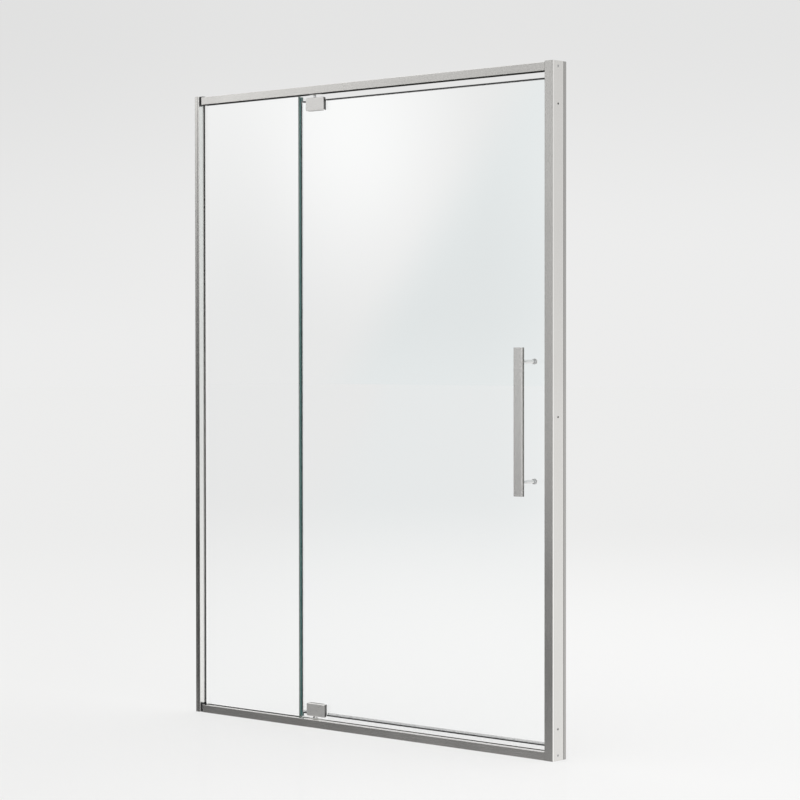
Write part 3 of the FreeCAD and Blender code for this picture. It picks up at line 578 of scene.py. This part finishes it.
# Pivot pins: ground stainless pins pressed into the hinge bridges, chamfered at the tip.
# The lower one has a collar that rides on the bearing washer.
turned_rings = (0.02, 0.02, 0.0004)
bright_steel = steel(
    "bright_steel", turned_rings, (0.74, 0.74, 0.735, 1.0), (0.82, 0.82, 0.815, 1.0), 0.14, 0.06,
)
top_pin_foot, bottom_pin_tip = 1.7873, 0.014
pin_steps = 40
shape = bmesh.new()
turned(shape, [
    (0.0, 0.0), (0.004, 0.0), (0.004, 0.0247), (0.003, 0.0257), (0.0, 0.0257),
], (pivot_x, pivot_y, top_pin_foot), (0, 0, 1), pin_steps)
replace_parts(finished("top_pin", shape, "door", bright_steel), "top_pivot_pin")
shape = bmesh.new()
turned(shape, [
    (0.0, 0.0), (0.003, 0.0), (0.004, 0.001), (0.004, 0.0105), (0.0077, 0.0105), (0.008, 0.0108),
    (0.008, 0.0171), (0.0077, 0.0174), (0.004, 0.0174), (0.004, 0.0237), (0.0, 0.0237),
], (pivot_x, pivot_y, bottom_pin_tip), (0, 0, 1), fine_steps)
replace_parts(finished("bottom_pin", shape, "door", bright_steel),
            "bottom_pivot_pin")


# Door seals: vinyl profiles pushed over the glass edges, extruded from two compounds. The
# legs on the glass are clear, and the base past the edge is black above and below the door
# and dark green at the hinge side. Strike seal and sweep blade are clear throughout.
vinyl_haze = (0.01, 0.01, 0.15)


def clear_vinyl(name, colour, cover, base_colour=None, base=None, base_cover=1.0):
    """Clear soft vinyl, seen as a film with a gloss. `base` makes, from a wire, the mask
    of the part with another colour and cover."""
    material, wire = new_finish(name)
    place = object_place(wire)
    haze = noise(wire, place, vinyl_haze)
    shade = mixed(wire, haze, colour, [0.93 * part for part in colour[:3]] + [1.0])
    alpha = cover * (0.7 + haze * 0.6)
    if base:
        mask = base(wire, place)
        shade = mixed(wire, mask, shade, base_colour)
        alpha = alpha + mask * (base_cover - alpha)
    show(wire, principled(wire, {
        "Base Color": shade, "Roughness": 0.2 + haze * 0.12, "IOR": 1.5, "Alpha": alpha,
    }))
    return material


seal_base_bottom, closed_end = 1.7842, 0.6375
carrier_base_top = 0.0383
hinge_base_side = -0.2579


def above_door(wire, place):
    """The base over the glass, and the whole of the strip's closed end."""
    base = along(wire, place, 2) > seal_base_bottom
    return wire.maths("MAXIMUM", base, along(wire, place, 0) > closed_end)


def below_door(wire, place):
    return along(wire, place, 2) < carrier_base_top


def beside_door(wire, place):
    return along(wire, place, 0) < hinge_base_side


seal_black = (0.018, 0.018, 0.018, 1.0)
hinge_green = (0.07, 0.185, 0.175, 1.0)
coat(nodes["door_top_seal"], clear_vinyl(
    "top_seal_vinyl", (0.1, 0.1, 0.1, 1.0), 0.3, seal_black, above_door,
))
coat(nodes["door_sweep_carrier"], clear_vinyl(
    "carrier_vinyl", (0.3, 0.3, 0.3, 1.0), 0.13, seal_black, below_door,
))
coat(nodes["hinge_side_seal"], clear_vinyl(
    "hinge_seal_vinyl", (0.8, 0.84, 0.84, 1.0), 0.03, hinge_green, beside_door, 0.85,
))
seal_vinyl = clear_vinyl("seal_vinyl", (0.85, 0.88, 0.88, 1.0), 0.06)
for name in ("door_strike_seal", "door_sweep_fin"):
    coat(nodes[name], seal_vinyl)
coat(nodes["door_magnet_strip"], moulded(
    "magnet_grey", (0.3, 0.3, 0.3, 1.0), (0.34, 0.34, 0.34, 1.0),
    roughness=0.5, pebble_size=0.0002,
))


# Handle: a flat bar of stainless steel, brushed along its length, on two polished posts.
# Cap bolts from inside the shower pass through clear sleeves and washers in the glass.
# Painted shade on the bar's side towards the strike.
def painted_shade_bar_side(wire, place):
    return (facing(wire, 0) > 0.9) * 0.5


bar_grain = (0.0004, 0.0004, 0.07)
coat(nodes["handle_bar"], brushed_nickel(
    "handle_nickel", bar_grain, (0.95, 0.94, 0.92, 1.0), (0.86, 0.85, 0.83, 1.0), 0.22,
    [(painted_shade_bar_side, painted_shade_nickel)],
))
handle_x, bar_back = 0.6045, -0.051
glass_front, glass_back, washer_thickness = 0.003, 0.011, 0.0012
bolt_tip = -0.0162
bolt_recess = (8, 9)
post_heights = (0.729, 1.045)
shape = bmesh.new()
for height in post_heights:
    turned(shape, [
        (0.0, 0.0), (0.0048, 0.0), (0.0052, 0.0004), (0.0052, 0.0524), (0.0048, 0.0528),
        (0.0031, 0.0528), (0.0031, 0.0348), (0.0, 0.0348),
    ], (handle_x, bar_back, height), (0, 1, 0), pin_steps)
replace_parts(finished("handle_standoffs", shape, "door", bright_steel),
            "handle_posts")

washer_vinyl = clear_vinyl("washer_vinyl", (0.7, 0.72, 0.72, 1.0), 0.25)
shape = bmesh.new()
for height in post_heights:
    for start in (glass_front - washer_thickness, glass_back):
        turned(shape, [
            (0.0031, 0.0), (0.0067, 0.0), (0.007, 0.0003), (0.007, 0.0009),
            (0.0067, washer_thickness), (0.0031, washer_thickness), (0.0031, 0.0),
        ], (handle_x, start, height), (0, 1, 0), pin_steps)
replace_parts(finished("glass_washers", shape, "door", washer_vinyl),
            "handle_washers")
shape = bmesh.new()
for height in post_heights:
    turned(shape, [
        (0.0031, 0.0), (0.006, 0.0), (0.006, 0.008), (0.0031, 0.008), (0.0031, 0.0),
    ], (handle_x, glass_front, height), (0, 1, 0), pin_steps)
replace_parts(finished("bolt_sleeves", shape, "door", washer_vinyl),
            "handle_sleeves")
shape = bmesh.new()
for height in post_heights:
    turned(shape, [
        (0.0, 0.0), (0.003, 0.0), (0.003, 0.0284), (0.0077, 0.0284), (0.008, 0.0287),
        (0.008, 0.0319), (0.0076, 0.0329), (0.0066, 0.0334), (0.0026, 0.0334), (0.0025, 0.0314),
        (0.0, 0.0312),
    ], (handle_x, bolt_tip, height), (0, 1, 0), fine_steps,
        recess=bolt_recess, outline=hex_outline)
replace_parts(finished("hex_cap_bolts", shape, "door", bright_steel),
            "handle_cap_bolts")


# Stage: a pale floor with a faint sheen, its tone painted lighter near the object and
# towards the right, as a pool of light. Two thirds of what the camera sees of it are its
# own plain colour, and the rest takes the light and the object's shadow.
def smooth(wire, value, start, end, low=0.0, high=1.0):
    """Goes smoothly from low at start to high at end."""
    return wire.node("ShaderNodeMapRange", {"interpolation_type": "SMOOTHSTEP"}, {
        "Value": value, "From Min": start, "From Max": end, "To Min": low, "To Max": high,
    })


def dot(wire, vector, axis):
    """How far a vector goes along an axis."""
    settings = {"operation": "DOT_PRODUCT"}
    return wire.node("ShaderNodeVectorMath", settings, {0: vector, 1: axis}, "Value")


def magnitude(wire, vector):
    return wire.node("ShaderNodeVectorMath", {"operation": "LENGTH"}, {0: vector}, "Value")


def ray_kinds(wire, *names):
    """For each name, the wire that is 1 for such rays and 0 for the others."""
    return [wire.node("ShaderNodeLightPath", {}, {}, name) for name in names]


into_room = (0.733, 0.68, 0.0)
# A painted pool of light: the floor's tone is lighter near the object and at the right.
near_left, near_right = (0.885, 0.885, 0.88, 1.0), (0.944, 0.944, 0.939, 1.0)
distant = (0.845, 0.845, 0.84, 1.0)
# Seen through the glass, the floor is painted lighter still and bluer far off at the right: a
# painted reflection in the glass.
near_left_glass, near_right_glass = (0.93, 0.93, 0.925, 1.0), (0.99, 0.99, 0.985, 1.0)
distant_left_glass, distant_right_glass = (0.86, 0.86, 0.857, 1.0), (0.848, 0.868, 0.87, 1.0)
plain_share, plain_share_glass = 0.65, 0.8
sheen_share, sheen_roughness = 0.06, 0.07

floor_paint, wire = new_finish("floor_paint")
place = object_place(wire)
away = magnitude(wire, place)
across = dot(wire, place, into_room)
near = mixed(wire, smooth(wire, across, -1.2, 0.3), near_left, near_right)
tone = mixed(wire, smooth(wire, away, 1.0, 9.0), near, distant)
paint = wire.node("ShaderNodeBsdfDiffuse", {}, {"Color": tone})
plain_paint = wire.node("ShaderNodeEmission", {}, {"Color": tone})
near = mixed(wire, smooth(wire, across, -1.6, 0.5), near_left_glass, near_right_glass)
far = mixed(wire, smooth(wire, across, -0.8, 0.0), distant_left_glass, distant_right_glass)
paint_behind_glass = wire.node("ShaderNodeEmission", {}, {
    "Color": mixed(wire, smooth(wire, away, 1.0, 12.0), near, far),
})
sheen = wire.node("ShaderNodeBsdfAnisotropic", {}, {"Roughness": sheen_roughness})
painted = wire.node("ShaderNodeMixShader", {}, {0: sheen_share, 1: paint, 2: sheen})
by_camera, through_glass = ray_kinds(wire, "Is Camera Ray", "Is Transmission Ray")
show(wire, wire.node("ShaderNodeMixShader", {}, {
    0: by_camera * plain_share + through_glass * plain_share_glass, 1: painted,
    2: wire.node("ShaderNodeMixShader", {}, {
        0: through_glass, 1: plain_paint, 2: paint_behind_glass,
    }),
}))
reach = 60.0
shape = bmesh.new()
bmesh.ops.create_grid(shape, x_segments=1, y_segments=1, size=reach)
floor = bpy.data.objects.new("floor", bpy.data.meshes.new("floor"))
shape.to_mesh(floor.data)
shape.free()
bpy.context.scene.collection.objects.link(floor)
coat(floor, floor_paint)
floor.visible_glossy = False


# Studio: pale all round. Gloss also sees the dim end of the room in front of the object, a
# bright window high on its left, a lit opening on its right, the ceiling and one lamp, which
# together shade the metal from top to bottom.
world = bpy.data.worlds.new("studio")
bpy.context.scene.world = world
world.use_nodes = True
world.node_tree.nodes.clear()
wire = Wire(world.node_tree)
direction = wire.node("ShaderNodeTexCoord", {}, {}, "Generated")
rise = along(wire, direction, 2)
forward_left = dot(wire, direction, (-0.7071, -0.7071, 0.0))
rightward = dot(wire, direction, (0.7071, -0.7071, 0.0))
backward_right = dot(wire, direction, into_room)


def spot(wire, width, height, radius, strength):
    """A round light, brightest where both width and height are 0."""
    offset = wire.node("ShaderNodeCombineXYZ", {}, {0: width, 1: height, 2: 0.0})
    return smooth(wire, magnitude(wire, offset), 0.0, radius, strength, 0.0)


ceiling_light, window_light, opening_light, opening_top = 1.29, 2.36, 1.07, 0.65
window_slope = 1.195
lamp_right, lamp_height, lamp_radius, lamp_light = 0.03, 0.11, 0.07, 0.77
dim_floor, dim_wall = 0.715, 0.052
ceiling = smooth(wire, rise, 0.128, 0.535, 0.0, ceiling_light)
window = smooth(wire, rise - window_slope * rightward, 0.043, 0.23, 0.0, window_light)
window = window * smooth(wire, rightward, -0.12, -0.07)
opening = smooth(wire, rightward, 0.07, 0.12, 0.0, opening_light)
opening = opening * smooth(wire, rise, -0.1, -0.051)
opening = opening * smooth(wire, rise, 0.03, 0.13, 1.0, opening_top)
brightest = wire.maths("MAXIMUM", wire.maths("MAXIMUM", ceiling, window), opening)
lamp = spot(wire, rightward - lamp_right, rise - lamp_height, lamp_radius, lamp_light)
dim_end = smooth(wire, rise, -0.25, -0.118, dim_floor, dim_wall)
around = smooth(wire, rise, -0.1, 0.08, 1.14, 0.94) * smooth(wire, rise, -0.6, -0.3, 0.72, 1.0)
around = around * smooth(wire, rightward, 0.3, 0.8, 1.0, 0.72)
in_front = smooth(wire, forward_left, 0.45, 0.85)
gloss_light = around + in_front * (dim_end + brightest + lamp - around)

# The backdrop is a shade darker high up and at the left. Through the glass it is
# lighter, with a glow high in the middle, and a little bluer at the right: a painted
# reflection of the studio in the glass.
backdrop_low, backdrop_high, left_shadow = 0.845, 0.78, 0.035
glow_squeeze, glow_shift, glow_height, glow_radius, glow_light = 1.3, 0.0234, 0.08, 0.08, 0.13
blue_slope, blue_low, blue_high = 0.6, 0.035, 0.01
behind_glass = 0.86
left_shade = smooth(wire, backward_right, -0.17, -0.02, left_shadow, 0.0)
left_shade = left_shade * smooth(wire, rise, 0.0, 0.05)
backdrop_tone = smooth(wire, rise, 0.038, 0.134, backdrop_low, backdrop_high) * (1.0 - left_shade)
glow_across = glow_squeeze * backward_right + glow_shift
glow = spot(wire, glow_across, rise - glow_height, glow_radius, glow_light)
blue_side = smooth(wire, backward_right - blue_slope * rise, -0.03, 0.0)
blue_depth = smooth(wire, rise, 0.03, 0.09, blue_low, blue_high)
blue_depth = blue_depth * smooth(wire, rise, -0.02, 0.02)
glass_tone = behind_glass + glow - blue_side * blue_depth
white = (1.0, 1.0, 1.0, 1.0)
warm_white, cool_white = (1.0, 1.0, 0.996, 1.0), (0.962, 0.997, 1.0, 1.0)
by_camera, through_glass, gloss = ray_kinds(
    wire, "Is Camera Ray", "Is Transmission Ray", "Is Glossy Ray",
)
plain = wire.node("ShaderNodeBackground", {}, {"Color": white, "Strength": 1.0})
backdrop = wire.node("ShaderNodeBackground", {}, {
    "Color": mixed(wire, through_glass * blue_side, warm_white, cool_white),
    "Strength": backdrop_tone + through_glass * (glass_tone - backdrop_tone),
})
gleam = wire.node("ShaderNodeBackground", {}, {"Color": white, "Strength": gloss_light})
lit = wire.node("ShaderNodeMixShader", {}, {0: gloss, 1: plain, 2: gleam})
wire.node("ShaderNodeOutputWorld", {}, {
    "Surface": wire.node("ShaderNodeMixShader", {}, {
        0: by_camera + through_glass, 1: lit, 2: backdrop,
    }),
})


# Camera: a long lens in front of the object and to its right, at the photograph's place and
# turned as it was, at about the height of the handle.
camera_place = (4.8098, -5.0549, 1.0633)
yaw, pitch, roll = -0.746870, 0.018149, 0.000766
forward = Vector((
    math.sin(yaw) * math.cos(pitch), math.cos(yaw) * math.cos(pitch), -math.sin(pitch),
))
right = Vector((math.cos(yaw), -math.sin(yaw), 0.0))
down = forward.cross(right)
turned_right = right * math.cos(roll) + down * math.sin(roll)
turned_down = down * math.cos(roll) - right * math.sin(roll)
camera_data = bpy.data.cameras.new("camera")
camera_data.sensor_width = 36.0
camera_data.lens = 112.35
camera_data.clip_end = 200.0
camera = bpy.data.objects.new("camera", camera_data)
bpy.context.scene.collection.objects.link(camera)
turn = Matrix((turned_right, -turned_down, -forward)).transposed().to_4x4()
camera.matrix_world = Matrix.Translation(camera_place) @ turn
bpy.context.scene.camera = camera
bpy.context.scene.view_settings.view_transform = "Standard"
